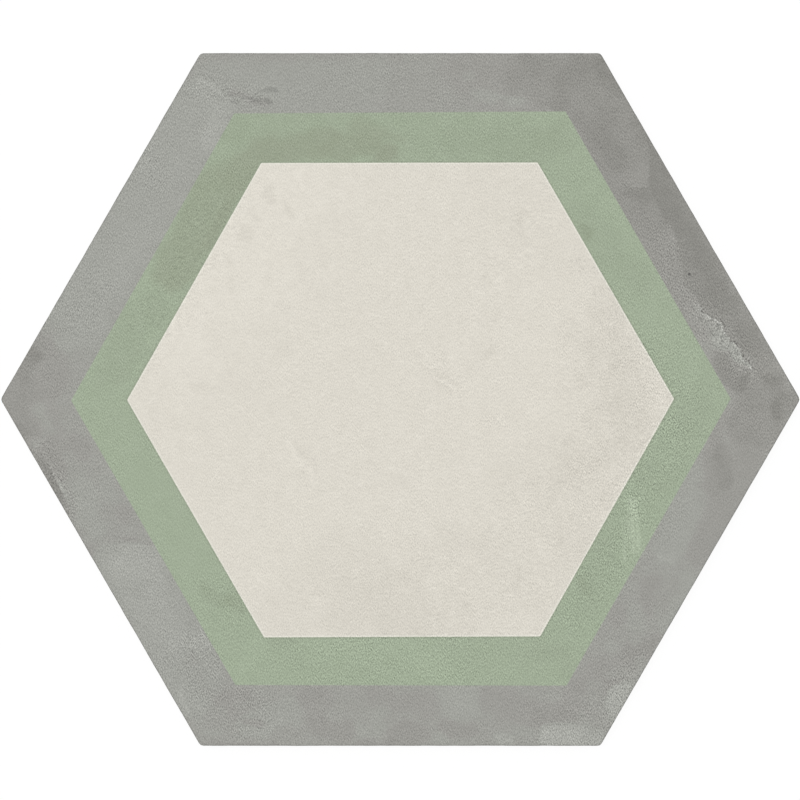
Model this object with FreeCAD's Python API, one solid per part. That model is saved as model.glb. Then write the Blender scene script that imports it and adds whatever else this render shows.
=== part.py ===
"""Hexagonal floor tile of pressed and fired stoneware: one piece, lying on its back.

The face is a flat hexagon with a rounded arris. It is printed with three nested hexagons, whose borders
are split lines in the face. The side is upright under the arris and then leans in to the back, as it
leaves the press. The back is keyed for adhesive by a honeycomb of shallow pockets inside a plain rim.

Millimetres. The origin is the centre of the back, +Z points up out of the face, two corners point
along +X and -X, and two sides face +Y and -Y.
"""

import math
import os

import FreeCAD
import Part

# Outline and section
ACROSS_FLATS = 216.0  # from side to side, over the upright part of the side
CORNER_RADIUS = 1.5  # the six corners, seen from above
THICKNESS = 9.0  # from the face to the tips of the ribs on the back
FACE_ARRIS = 0.8  # radius that rounds the face into the side
UPRIGHT_BAND = 4.0  # height of the upright side, below the arris
SIDE_DRAFT = 6.0  # degrees that the side leans in, from the upright band down to the back
BACK_ARRIS = 0.5  # chamfer between the side and the back

# Print on the face, each band measured square to the side
GREY_BAND = 18.6
GREEN_BAND = 15.45

# Keyed back
RIM_WIDTH = 4.0  # plain rim between the back's edge and the pockets
CELL_PITCH = 12.0  # from pocket to pocket
RIB_WIDTH = 1.6  # at the tips of the ribs
POCKET_DEPTH = 0.7
POCKET_DRAFT = 30.0  # degrees that a pocket's walls open towards the back
SMALLEST_POCKET = 0.25  # a pocket trimmed by the rim is left out below this share of a whole one

SIDES = 6
HALF_SIDE_ANGLE = math.pi / SIDES
OVERCUT = 0.2  # how far the cutting shapes reach past the back

TILE_APOTHEM = ACROSS_FLATS / 2
BAND_FOOT = THICKNESS - FACE_ARRIS - UPRIGHT_BAND
DRAFT_INSET = (BAND_FOOT - BACK_ARRIS) * math.tan(math.radians(SIDE_DRAFT))
BACK_APOTHEM = TILE_APOTHEM - DRAFT_INSET - BACK_ARRIS
POCKET_FLARE = math.tan(math.radians(POCKET_DRAFT))


def hexagon(apothem, z, first_corner=0.0):
    """The corners of a regular hexagon about the Z axis. first_corner is in radians from +X."""
    reach = apothem / math.cos(HALF_SIDE_ANGLE)
    angles = [first_corner + 2 * HALF_SIDE_ANGLE * k for k in range(SIDES)]
    return [FreeCAD.Vector(reach * math.cos(a), reach * math.sin(a), z) for a in angles]


def polygon_face(points):
    return Part.Face(Part.makePolygon(points + points[:1]))


def tile_outline(inset, z):
    """The tile's outline at height z, moved in from the upright side, as six lines and six arcs."""
    apothem = TILE_APOTHEM - inset
    radius = CORNER_RADIUS - inset
    corners = hexagon(apothem, z)
    to_tangent = radius * math.tan(HALF_SIDE_ANGLE)
    edges = []
    for before, corner, after in zip(corners[-1:] + corners[:-1], corners, corners[1:] + corners[:1]):
        side_end = corner + (before - corner).normalize() * to_tangent
        next_start = corner + (after - corner).normalize() * to_tangent
        previous_start = before + (corner - before).normalize() * to_tangent
        axis = FreeCAD.Vector(0, 0, z)
        arc_middle = corner + (axis - corner).normalize() * radius * (1 / math.cos(HALF_SIDE_ANGLE) - 1)
        edges.append(Part.LineSegment(previous_start, side_end).toShape())
        edges.append(Part.Arc(side_end, arc_middle, next_start).toShape())
    return Part.Wire(edges)


def pressed_blank():
    """The tile with a plain back: chamfer, leaning side, upright band and rounded face arris."""
    sections = [
        tile_outline(DRAFT_INSET + BACK_ARRIS, 0),
        tile_outline(DRAFT_INSET, BACK_ARRIS),
        tile_outline(0, BAND_FOOT),
        tile_outline(0, THICKNESS),
    ]
    blank = Part.makeLoft(sections, True, True)
    face_edges = [e for e in blank.Edges if e.BoundBox.ZMin > THICKNESS - FACE_ARRIS / 2]
    return blank.makeFillet(FACE_ARRIS, face_edges)


def split_along_print(tile):
    """Splits the face where the printed colours meet, with nothing added and nothing removed."""
    green_frame = polygon_face(hexagon(TILE_APOTHEM - GREY_BAND, THICKNESS))
    cream_field = polygon_face(hexagon(TILE_APOTHEM - GREY_BAND - GREEN_BAND, THICKNESS))
    pieces, _ = tile.generalFuse([green_frame, cream_field])
    return pieces.Solids[0]


def drafted_hexagon(apothem, first_corner):
    """A block from under the back to the pockets' floor. It is apothem wide at the back and narrows upwards."""
    foot = hexagon(apothem + OVERCUT * POCKET_FLARE, -OVERCUT, first_corner)
    floor = hexagon(apothem - POCKET_DEPTH * POCKET_FLARE, POCKET_DEPTH, first_corner)
    faces = [polygon_face(foot), polygon_face(floor)]
    for k in range(SIDES):
        faces.append(polygon_face([foot[k - 1], foot[k], floor[k], floor[k - 1]]))
    return Part.Solid(Part.Shell(faces))


def pocket_centres(reach):
    """Honeycomb centres out to the distance reach, in rows along the tile's sides, with one at the middle."""
    steps = math.ceil(reach / (CELL_PITCH * math.cos(HALF_SIDE_ANGLE)))
    for row in range(-steps, steps + 1):
        for step in range(-steps, steps + 1):
            x = CELL_PITCH * (step + row / 2)
            y = CELL_PITCH * row * math.cos(HALF_SIDE_ANGLE)
            if math.hypot(x, y) <= reach:
                yield FreeCAD.Vector(x, y, 0)


def back_pockets():
    """The material that the press leaves out of the back: whole cells, and cells trimmed by the rim."""
    field_apothem = BACK_APOTHEM - RIM_WIDTH
    field = drafted_hexagon(field_apothem, 0)
    cell = drafted_hexagon((CELL_PITCH - RIB_WIDTH) / 2, HALF_SIDE_ANGLE)
    pockets = []
    for centre in pocket_centres(field_apothem / math.cos(HALF_SIDE_ANGLE) + CELL_PITCH):
        pocket = cell.copy()
        pocket.translate(centre)
        if centre.Length > field_apothem - CELL_PITCH:
            pocket = pocket.common(field)
        if pocket.Volume > SMALLEST_POCKET * cell.Volume:
            pockets.append(pocket)
    return pockets


def hexagon_tile():
    return split_along_print(pressed_blank()).cut(back_pockets())


os.makedirs("parts", exist_ok=True)
tile = hexagon_tile()
tile.exportStep("parts/hexagon_tile.step")
print(f"hexagon_tile: {tile.Volume / 1000:.1f} cm3, {len(tile.Faces)} faces, valid {tile.isValid()}")
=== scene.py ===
"""The looks of the hexagonal floor tile: one closed mesh with its print, its wear and its keyed back.

Sizes and places on the tile are in millimetres from the centre of its back, +X to the right and +Y up the
photograph, with z = 0 at the back and z = 9 at the face. Meshes are scaled to metres when they are made.
Clouds and marks in the print are laid along short paths. Each is kept as a value at the vertices,
and noise in the material breaks it up.
"""

import math

import bpy
import numpy as np
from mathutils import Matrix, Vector, geometry, noise


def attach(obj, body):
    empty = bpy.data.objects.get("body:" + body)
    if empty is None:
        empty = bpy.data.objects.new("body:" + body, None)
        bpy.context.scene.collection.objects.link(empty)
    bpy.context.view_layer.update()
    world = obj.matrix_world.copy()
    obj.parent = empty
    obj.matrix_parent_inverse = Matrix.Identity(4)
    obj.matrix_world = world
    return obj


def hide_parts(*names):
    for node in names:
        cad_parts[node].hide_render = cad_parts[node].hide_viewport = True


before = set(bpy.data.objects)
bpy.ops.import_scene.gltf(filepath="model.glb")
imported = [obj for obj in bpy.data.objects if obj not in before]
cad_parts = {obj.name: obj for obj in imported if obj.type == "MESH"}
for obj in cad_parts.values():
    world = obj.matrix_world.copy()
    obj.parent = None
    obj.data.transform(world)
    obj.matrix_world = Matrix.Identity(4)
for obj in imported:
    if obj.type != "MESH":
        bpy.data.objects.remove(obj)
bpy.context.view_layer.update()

MM = 0.001

# The tile's outline and section, as in the solid
TILE_APOTHEM = 108.0
CORNER_RADIUS = 1.5
THICKNESS = 9.0
FACE_ARRIS = 0.8
BAND_FOOT = 4.2
SIDE_DRAFT = 6.0
BACK_ARRIS = 0.5

# The keyed back, as in the solid, and the small roundings that pressing leaves
RIM_WIDTH = 4.0
CELL_PITCH = 12.0
RIB_WIDTH = 1.6
POCKET_DEPTH = 0.7
POCKET_DRAFT = 30.0
SMALLEST_POCKET = 0.25
POCKET_ROUNDING = 0.16

# The print isn't quite regular. For each side of a printed hexagon: the direction that it faces, in degrees
# from +X, and how far it is from the tile's centre
GREEN_SIDES = [
    (29.9, 89.28), (90.35, 89.38), (150.4, 89.02), (210.0, 88.96), (269.9, 89.01), (330.2, 89.17)]
CREAM_SIDES = [
    (30.0, 73.91), (90.1, 73.72), (150.5, 74.0), (210.0, 73.82), (270.2, 73.94), (330.6, 74.15)]
PRINT_CORNER = 0.4
PRINT_FOOT = 7.0  # the height that the print runs down to on the side

# How the back is cut into triangles: only inside its edge, with points nearer than WELD joined
CUT_INSIDE = 1
WELD = 1e-5

# How finely the mesh is divided
FACE_RINGS = 144
ARRIS_STEPS = 7
BAND_STEPS = 3
DRAFT_STEPS = 3

# How deep and how wide the wavers of the edge and of the face are, and the seeds of their noise
EDGE_WAVER = 0.12
EDGE_WAVER_SIZE = 5.0
EDGE_SEED = 8.0
FACE_WAVER = 0.05
FACE_WAVER_SIZE = 22.0
FACE_SEED = 3.0

# The camera looks straight down, with a long lens. FRAME_WIDTH is what it sees at the widest outline
LENS = 100.0
SENSOR = 36.0
FRAME_WIDTH = 249.4
CAMERA_AT = (-0.12, -0.17)

# The floor and the light, in metres
FLOOR_REACH = 2.0
FLOOR_DROP = 0.00002
FLOOR_WHITE = (0.8, 0.8, 0.8, 1.0)
FLOOR_GLOW_SHARE = 0.85
FLOOR_GLOW = 1.05
SKY_STRENGTH = 0.45
SOFTBOX_SIZE = 2.4
SOFTBOX_AT = (-0.3, 0.35, 3.9)
SOFTBOX_POWER = 89.5

SIDES = 6
COS30 = math.cos(math.pi / SIDES)
TAN30 = math.tan(math.pi / SIDES)
DRAFT_INSET = (BAND_FOOT - BACK_ARRIS) * math.tan(math.radians(SIDE_DRAFT))
BACK_APOTHEM = TILE_APOTHEM - DRAFT_INSET - BACK_ARRIS


def smooth(value):
    """Cuts a value to 0..1 and eases both ends."""
    t = np.clip(value, 0, 1)
    return t * t * (3 - 2 * t)


def noise_field(xy, size, octaves=3, seed=0.0):
    """Noise from about -1 to 1, whose largest blobs are about size across."""
    return np.array([noise.fractal((x / size, y / size, seed), 1.0, 2.0, octaves) for x, y in xy])


def waver(xy, depth, size, seed):
    """Depths from 0 to depth, in soft waves that are about size across."""
    return depth * (0.5 + 0.5 * np.clip(noise_field(xy, size, 3, seed), -1, 1))


def place_on_path(xy, path):
    """For each point: its signed distance from the path, positive on the left, and how far along it is."""
    best = np.full(len(xy), np.inf)
    across = np.zeros(len(xy))
    along = np.zeros(len(xy))
    walked = 0.0
    for start, end in zip(path, path[1:]):
        start, end = np.array(start, float), np.array(end, float)
        length = np.linalg.norm(end - start)
        step = (end - start) / length
        offset = xy - start
        t = np.clip(offset @ step, 0, length)
        distance = np.linalg.norm(offset - t[:, None] * step, axis=1)
        side = np.sign(step[0] * offset[:, 1] - step[1] * offset[:, 0])
        nearer = distance < best
        best = np.where(nearer, distance, best)
        across = np.where(nearer, distance * np.where(side == 0, 1, side), across)
        along = np.where(nearer, walked + offset @ step, along)
        walked += length
    return across, along


def soft_stroke(xy, path, half_width, fade):
    """1 along the path, easing to 0 over the fade outside its half width."""
    across, _ = place_on_path(xy, path)
    return smooth(1 - (np.abs(across) - half_width) / fade)


# Clouds in the print. Each has a path, its half width, how far it fades beyond that, and how many levels
# of 255 it lightens the colour. A negative number darkens it.
GREY_CLOUDS = [
    # Top: a broad light, dusk along the edge, and the foot and rim of the wiped patch
    ([(-56, 97), (-30, 97), (-14, 98)], 6, 7, 2),
    ([(-47, 97), (-40, 96)], 2, 3, 2.2),
    ([(26, 90.5), (48, 90.5)], 1, 2, -3.5),
    ([(-58, 108), (-44, 108), (0, 108)], 0.5, 3, -3.5),
    ([(22, 104), (34, 102)], 4, 8, -3.5),
    ([(23.5, 95.6), (30, 94.8), (37.5, 94.2)], 0.3, 1.4, 3),
    ([(20.5, 100.2), (22, 101)], 0.4, 1.8, 4),
    # Top left: light and shade round the smear, and a pale curl
    ([(-59, 82), (-57, 85)], 1.5, 4, 5),
    ([(-52, 94.6), (-46, 93.6), (-41, 92.8)], 0.5, 1.8, -4),
    ([(-55, 90.5), (-51, 90.5)], 1, 2.5, 2.5),
    ([(-61.5, 99.4), (-58.5, 98.3), (-56.8, 96.4), (-55.8, 94.6)], 0.1, 0.9, 9),
    # Top right corner: a brown shade, deeper at the tip and along the edge
    ([(41, 101), (50, 97), (60, 97)], 6, 7, -6.3),
    ([(44, 105), (58, 105)], 2, 6, -4.8),
    ([(61, 107.5), (58, 104)], 1, 5, -4.8),
    ([(63, 106), (73, 88)], 0.8, 3.5, -6),
    ([(57, 101), (57, 96), (62, 93)], 1.5, 4, 2.5),
    # Upper right: the brown base, a streak and a notch in the wedge, and the shadow outside it
    ([(58, 91), (72, 71), (86, 46), (93, 32)], 10, 5, -6.5),
    ([(58.5, 89), (58.5, 85)], 1, 3, 3),
    ([(64, 82), (74, 66), (77, 59)], 6, 5, -4.2),
    ([(57, 85.5), (64, 81), (67, 74)], 1.2, 3.5, -7),
    ([(71, 65), (76.5, 63.2)], 1.3, 2, -7),
    ([(76, 84), (82, 73)], 1.5, 3.5, -6),
    ([(80, 67), (84, 59), (90, 50), (94, 43), (99, 36)], 1.4, 3.5, -6),
    ([(98, 33), (104, 27), (108, 19)], 3, 4, -4),
    # Round the scrape: the dark strip below it, its pale foot, and haze along the edge
    ([(100, 12.8), (103, 9.5), (105, 6.5)], 2, 2.5, -15),
    ([(105, 12), (109, 8.5)], 0.8, 2.2, 2),
    ([(108, 20), (116, 8)], 2.2, 3.4, -9.2),
    # Right corner: shades that deepen to the tip
    ([(110, 1), (114.5, 3)], 3.5, 4.5, -9.2),
    ([(124, 0), (119.5, -2)], 1.5, 3.5, -10.5),
    ([(117, -3), (118.5, -4.5)], 0.8, 2, -7),
    ([(108, -8), (115, -9)], 3, 4, -8),
    ([(101, -6), (97.5, -12), (97, -17)], 1.5, 3, -4),
    # Lower right: a dusky base with blots, glows, mottle, haze and a smudge
    ([(108, -16), (104, -28), (96, -44), (94, -48)], 3, 3.5, -4),
    ([(99.8, -16), (100.5, -20), (101.5, -25)], 0.7, 2.8, -8.5),
    ([(97, -21), (96.5, -27)], 1.2, 3, -5),
    ([(91, -24), (88, -36), (84, -47)], 3, 3, 3),
    ([(80.5, -50), (84, -50)], 0.5, 2, 4),
    ([(91, -56), (85, -66), (83, -70)], 1.5, 3, 3),
    ([(79, -56), (77, -60), (78, -64)], 0.8, 2.2, -5),
    ([(67, -65), (68, -69)], 1, 2.5, -3.5),
    ([(81, -74.5), (76, -78), (72, -78)], 0.8, 2.2, -6),
    ([(73, -67), (74, -71)], 1, 3, 2),
    ([(69, -81), (61, -84), (56, -88)], 1.5, 3, -3),
    ([(64, -88.5), (69, -89)], 0.6, 1.6, -4),
    ([(64, -77), (66, -79)], 0.5, 2.5, 2.5),
    # Bottom right: the pale blot and the pale rim
    ([(70, -90.5), (67.3, -93), (66.8, -97)], 1.6, 2, 9),
    ([(54, -105), (62, -105.5)], 1.2, 2.5, 8),
    # Bottom: a bright blot with a dark rim, a thin veil, pale spots, a smudge and lights
    ([(47.5, -104.3), (52, -105)], 2.6, 2.2, 10),
    ([(38, -103), (44, -104)], 1.5, 2.5, 2.5),
    ([(43, -98.5), (47, -99.3), (52, -98.5)], 0.6, 2, -3.5),
    ([(27, -93), (40, -97), (56, -93)], 2.5, 3, -2.5),
    ([(42, -92.5), (47, -92.5)], 1, 2, 3),
    ([(31, -106), (34, -107)], 0.7, 1.8, 8),
    ([(14, -103), (22, -102.3)], 1, 2.2, -5),
    ([(22, -92), (15, -92), (17, -97), (22, -96)], 2, 3, 4.5),
    ([(11, -106.5), (13, -106)], 1, 2, 4),
    # Bottom middle: a haze, a smudge, a dark edge and a light
    ([(-8, -93), (8, -96)], 2, 2.5, -2.5),
    ([(-3, -105), (6, -103)], 1.6, 2.5, -5),
    ([(-12, -107.5), (-3, -107.5)], 0.6, 1.6, -5),
    ([(-13, -104), (-8, -103), (-5, -97)], 1, 2.5, 3),
    # Bottom left: haze, a faint ring, smudges, a dark edge and thin pale lines in the corner
    ([(-34, -97), (-40, -98)], 2, 3, 3),
    ([(-27, -91), (-28, -96), (-25, -102), (-17, -104)], 1.8, 2.5, -4),
    ([(-24, -92), (-22, -94)], 1.5, 2, -2),
    ([(-49, -101), (-47.5, -98), (-44, -97.4), (-41, -99)], 0.4, 1.2, 3),
    ([(-48, -103.6), (-42, -103), (-38, -100.5)], 0.6, 1.6, 4.5),
    ([(-46.5, -100.5), (-44.5, -101)], 0.4, 1.4, -4),
    ([(-55, -92.5), (-50, -92.5)], 1.4, 2, -3.5),
    ([(-53, -97), (-49, -98)], 0.6, 2.5, -3),
    ([(-61, -107.8), (-40, -107.8)], 0.4, 1.4, -4),
    ([(-61, -103.5), (-56, -104)], 0.3, 1.2, 3),
    ([(-69, -90.5), (-67.5, -95), (-66.5, -98)], 0.4, 1.3, 7),
    ([(-63.5, -95.5), (-62, -96.7)], 0.4, 1.4, 5),
    # Lower left: the broad glow and the brighter places in it, a pocked patch and a blot
    ([(-88, -54), (-80, -62), (-75, -73), (-68, -92)], 4, 7, 4.5),
    ([(-85, -62), (-82, -67)], 1.5, 3, 3),
    ([(-74, -62), (-68, -74)], 3, 6, 3.5),
    ([(-88.5, -51.5), (-86, -53.5)], 1.2, 3, 3),
    ([(-81, -48), (-76, -48.5)], 0.8, 2.2, 2.5),
    ([(-79, -56), (-74, -57)], 0.8, 2, 2.5),
    ([(-67, -80), (-65, -86)], 2, 3, -2.5),
    ([(-62, -77), (-57, -86)], 1, 3, 3.5),
    ([(-84, -43.5), (-82, -44.2)], 0.5, 1.4, -5),
    # Left corner: shades and a dark stain
    ([(-112, -2), (-109, -7)], 0.8, 2.5, 2),
    ([(-109, -2), (-107, -8)], 0.5, 2, -3),
    ([(-124, 1), (-119, -1), (-117, -7)], 2, 4.5, -7.5),
    ([(-118, 8.5), (-115.5, 13.5)], 1, 4.5, -11),
    ([(-111, 15), (-108, 9), (-113, 3)], 3, 4, -4),
    # Left: a blot, lights, haze, the stain along the edge, and the broad glow above
    ([(-87.5, -34), (-86.5, -37)], 1.2, 1.5, -3),
    ([(-99, -26), (-97, -34), (-95, -40)], 1.2, 3, 3.5),
    ([(-92, -26), (-90, -31)], 1.5, 3, 2.5),
    ([(-99, -44), (-96.5, -47)], 0.5, 2, -4),
    ([(-103, -13), (-99, -15)], 1.5, 2, -4),
    ([(-109, -14), (-107, -22)], 1.5, 3, -5.5),
    ([(-119, -9.5), (-113, -20), (-105, -33.5)], 0.6, 2.4, -8),
    ([(-112, 18), (-108, 22)], 1.5, 4, -3.5),
    ([(-102, 24), (-96, 36), (-84, 50), (-72, 73), (-63, 88)], 7, 7, 4.5),
    ([(-92, 36), (-84, 48), (-80, 53)], 1, 5, 1.8),
    ([(-80, 73), (-79.3, 73.4)], 0.5, 2, 4),
]
# Edges where the grey changes at once, as where a layer has come away. Each has how far it is felt on its
# left and on its right, and points as x, y, levels on the left and levels on the right
CRISP_EDGES = [
    # The lower rim of the wiped patch at the top
    (5, 3, [(46, 88, 0, 0), (42, 92, 2, 0), (38.5, 94.2, 5, 0), (30, 95, 5, 0), (22, 96, 0, 0)]),
    # The foot of the light wedge at the upper right
    (2, 6, [(77.2, 65.8, -2, 4), (73, 66.2, -2, 4), (70, 66.6, 0, 2), (67, 67.8, 0, 0)]),
    # The edge of the worn layer from the upper right down, and round the scrape
    (14, 6, [
        (76.5, 84, -4, 0), (77.8, 76, -8, 0), (77.5, 71, -8, 3), (77.3, 66, -8, 3), (80, 61, -8, 0),
        (82, 57.5, -8, 0), (82.4, 55.2, -8, 1), (84.2, 54.1, -8, 1), (85.2, 52, -8, 1), (86.2, 50.5, -8, 1),
        (86, 46.5, -8, 1), (86.6, 44, -8, 0), (88, 42, -8, 0), (88.1, 36, -8, 0), (90.5, 33.5, -8, 0),
        (92.3, 32, -8, 0), (92.8, 30, -7, 4), (93.6, 28.2, -6, 5.5), (93.7, 27.3, -6, 5.5),
        (94.6, 26.6, -6, 5.5), (96.9, 25.6, -6, 6), (97.8, 24.9, -6, 6), (99, 24.3, -6, 6),
        (100.2, 24.1, -6, 6), (100.2, 22.6, -5, 6), (100.8, 22, -5, 6), (100.9, 20.8, -5, 6),
        (101.6, 20, -5, 6), (102.3, 19.6, -5, 6), (102.4, 18.4, -5, 5.5), (103.2, 18, -5, 5.5),
        (104.6, 17.8, -5, 5.5), (104.7, 16.6, -4, 5), (105.9, 16, -4, 5), (106.1, 15, -3, 5),
        (106.9, 12, -2, 5), (107.9, 12.1, -2, 5), (108.7, 11, -1, 5.5), (109.4, 10, 0, 5.5),
        (109.9, 7.4, 0, 0)]),
    # Where the light of the lower left starts
    (14, 3, [(-67, -50, 0, 0), (-74, -46.5, 6, 0), (-81, -45, 7, 0), (-86, -45, 5, 0), (-94, -44.5, 0, 0)]),
    # The chipped outer edge at the left
    (3, 1.3, [(-102.5, -34, 0, 0), (-105.3, -29.3, -12, 4.6), (-109.2, -21.3, -9, 4), (-113, -14.5, 0, 0)]),
    # The bright blot at the bottom
    (2, 7, [
        (42.5, -108, 0, 2), (43.7, -101.8, -2, 3.2), (45.5, -100.1, -2, 3.2), (50, -100.7, -2, 2),
        (57, -101.5, 0, 0)]),
    # The pale blot at the bottom right
    (1.5, 5, [
        (66.1, -98, 0, 0), (64.2, -94.8, -2, 3), (64.6, -90.7, -2, 3), (66.4, -88.9, -2, 3),
        (70.5, -88.5, 0, 0)]),
]
GREEN_CLOUDS = [
    # Top: dusk, deeper in the corners
    ([(-56, 80), (-50, 83), (0, 83), (40, 80)], 5, 6, -2.6),
    ([(50, 84), (53, 79)], 2, 4, -3),
    ([(-54, 84), (-50, 84)], 1.5, 3, -2.5),
    ([(17, 80), (36, 79), (46, 82)], 2.5, 4, -1.8),
    # Left: dusk below the veil
    ([(-77, 28), (-84, 26), (-86, 18), (-90, 8)], 3, 4, -3.4),
    # Upper right: a pale line, dusk and a dark spot
    ([(54.5, 76), (56.5, 79)], 0.3, 1.2, 3),
    ([(57, 53), (59, 50.5)], 1, 2.2, -8),
    ([(57, 58), (63, 51), (65, 44), (76, 37)], 2, 4, -2.5),
    # Right: a light, and dusk below it
    ([(76, 26), (86, 20), (88, 9)], 3, 5, 1),
    ([(94, 3), (92, -5), (89, -16)], 2, 4, -1.8),
    ([(76, -24), (83, -25)], 2, 4, -2),
    # Lower right: dusk and a spot
    ([(63, -46), (60, -62)], 2.5, 5, -2.2),
    ([(56, -56.5), (58, -58.5)], 0.7, 2.5, -5),
    # Bottom: lights, a smudge, thin pale lines and a spot
    ([(41, -79), (51, -79), (52, -84)], 1, 3.5, -3),
    ([(28, -84), (34, -85), (37, -83)], 0.2, 0.9, 2.5),
    ([(6, -77), (12, -80)], 2, 3, 2),
    ([(-24, -77), (-3, -77), (14, -85)], 2, 3, 2.5),
    ([(-39, -76), (-34, -76)], 0.7, 2, -3),
    ([(-50, -84), (-44, -78)], 2, 3, 1.8),
    # Lower left: two smudges
    ([(-60, -60), (-57, -63)], 1.5, 2.5, -5),
    ([(-53, -62), (-50, -65)], 0.8, 2.2, -6),
]
# The brown veil over the green, up the left side and along the top. Here a level is a share of it, 0 to 1
GREEN_VEILS = [
    ([(-70, 40), (-67, 47), (-61, 58), (-58, 65)], 4.5, 5, 0.7),
    ([(-60, 48), (-50, 67)], 1.2, 4, 0.86),
    ([(-52, 70), (-46, 74), (-40, 77)], 3, 4, 0.8),
    ([(-42, 77), (-24, 78.5), (-9, 80)], 2.6, 4, 0.72),
    ([(-37, 76), (-34, 78.5)], 1, 4, 0.8),
    ([(-24, 77), (-20, 81)], 1, 4, 0.85),
    ([(-5.5, 75), (-4.5, 77)], 0.8, 3, 0.9),
    ([(-13, 85), (-4, 83)], 0.5, 3.5, 0.6),
    ([(-3, 82), (0.5, 81.5)], 0.3, 2.5, 0.5),
]
CREAM_CLOUDS = [
    # Left: a broad glow, a shade, a faint line and small spots
    ([(-62, 26), (-52, 42), (-38, 60)], 10, 24, 2.8),
    ([(-53, 17), (-42, 18)], 4, 8, -2.2),
    ([(-64, 3), (-61, 3)], 0.4, 1.4, -3.5),
    ([(-59, 3), (-56, 2.8)], 0.5, 1.4, -3),
    ([(-51, 5), (-45, 5)], 2, 5, -2.5),
    ([(-78.5, -2.5), (-77, -2.5)], 0.3, 1.4, -3.5),
    ([(-53.5, 36), (-53, 34)], 0.8, 1.6, -3),
    ([(-54, 43), (-53, 42)], 0.4, 1.5, -3.5),
    ([(-41, 43), (-41.5, 37)], 0.4, 1.5, -3),
    ([(-31.5, 42), (-31, 38.5), (-34, 36)], 0.3, 1.3, -3),
    ([(-37, 30.5), (-36, 30.5)], 0.3, 1.3, -3.5),
    ([(-38, 15), (-36.5, 13)], 0.6, 2, -2.5),
    # Top left: a dusk, small spots and a pale fleck
    ([(-28, 46), (-20, 54)], 3, 6, -2.2),
    ([(-41, 65), (-40.5, 63)], 0.7, 1.5, -6.5),
    ([(-36, 60), (-33, 57.5)], 0.4, 1.4, -6),
    ([(-49.5, 52), (-48, 51.5)], 0.9, 1.6, -6),
    ([(-45.5, 58.5), (-43.5, 57)], 0.5, 1.4, -5.5),
    ([(-33, 68.5), (-33, 66.5)], 0.3, 1.3, -4.5),
    ([(-32.5, 70.5), (-32, 67.5)], 0.4, 1.3, 7),
    # Top right: haze, smudges, a pale curl with its shade, and two spots
    ([(28, 65), (40, 62), (44, 50), (54, 42)], 4, 9, -2.3),
    ([(37, 57), (38, 52)], 0.8, 2, -3),
    ([(35, 48), (39, 49.5)], 0.8, 2, -3),
    ([(38.5, 57), (39.5, 53), (41, 50)], 0.2, 0.9, 4),
    ([(36.5, 56), (37.5, 52)], 0.2, 0.9, -3.5),
    ([(25.5, 44), (27, 45)], 0.6, 1.6, -3.5),
    ([(26, 38.5), (27, 37.5)], 0.5, 1.5, -2.5),
    # Right: the broad shade with its core, lighter at the corner and at its upper end
    ([(66, 24), (68, 12), (73, -8)], 5, 12, -5.5),
    ([(79, 3.5), (79.5, 0)], 1.5, 3, 3),
    ([(67, 12), (70.5, 2), (71, -10)], 1.5, 6, -2.8),
    ([(62, -3), (66, -5)], 2, 4, -2),
    ([(70, 22), (70.5, 24)], 0.5, 1.5, 3),
    ([(58, 16), (54, -4), (60, -32)], 2, 7, -1.8),
    ([(58, -18), (46, -19), (32, -24)], 3.5, 7, -2.6),
    # Lower right: haze, with a shade, a spot, a line, a light and a smudge in it
    ([(53, -50), (54, -44)], 3, 5, -2.2),
    ([(50.5, -20), (51, -25)], 1, 4, -3),
    ([(58, -30), (50, -50), (34, -54)], 8, 16, -3.1),
    ([(43, -41.5), (50, -42.5)], 0.3, 1.5, -2.5),
    ([(44, -46), (46, -49)], 0.8, 2, 3),
    ([(36.5, -53), (37, -56)], 0.5, 2, -3),
    # Bottom: the broad shade with its core, and pale spots
    ([(-14, -66), (0, -66), (12, -72)], 5, 12, -5),
    ([(-35, -69), (-28, -54), (-12, -49)], 4, 9, -3),
    ([(-8, -62), (-6, -68), (6, -71)], 2, 5, -2.5),
    ([(4, -52), (20, -43)], 3, 7, -3),
    ([(-26.5, -63), (-25, -63.5)], 0.6, 1.6, 3),
    ([(-45, -53.5), (-43, -54.5)], 0.6, 1.8, 3),
    # Middle: a spot, a smudge, a scratch with its shade, a long fine scratch and a dash
    ([(25.5, 13.8), (28, 15)], 0.6, 1.5, -6.5),
    ([(29.5, 26), (31, 27)], 0.5, 1.5, -3),
    ([(-36, -14), (-31, -19.5), (-26.5, -25)], 0.3, 1.1, 5),
    ([(-34, -13), (-28.5, -18), (-26.8, -22)], 0.3, 1.2, -4),
    ([(-33, -21.5), (-30, -25), (-26, -29)], 0.1, 1, -2.5),
    ([(-10, -20.5), (-4, -22.5), (4, -27)], 0.2, 1, -3.5),
    ([(11, 7.4), (14, 6.6), (18, 4.5)], 0.3, 0.9, -7),
    ([(10, 4.6), (12, 3.6), (15, 1.8)], 0.3, 0.9, -6.5),
    ([(10, 6.2), (13, 5.2), (17, 3)], 0.3, 0.8, 6),
    ([(14, 11), (16, 13), (18, 15)], 0.4, 1.2, 2.5),
]
# How far noise moves the clouds, and how much it frays their borders
CLOUD_WARP = 2.2
CLOUD_WARP_SIZE = 8.0
CLOUD_WARP_SEEDS = (20.0, 40.0)
CLOUD_RAGGEDNESS = 0.45
CLOUD_RAG_SIZE = 6.0
CLOUD_RAG_SEED = 60.0

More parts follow.
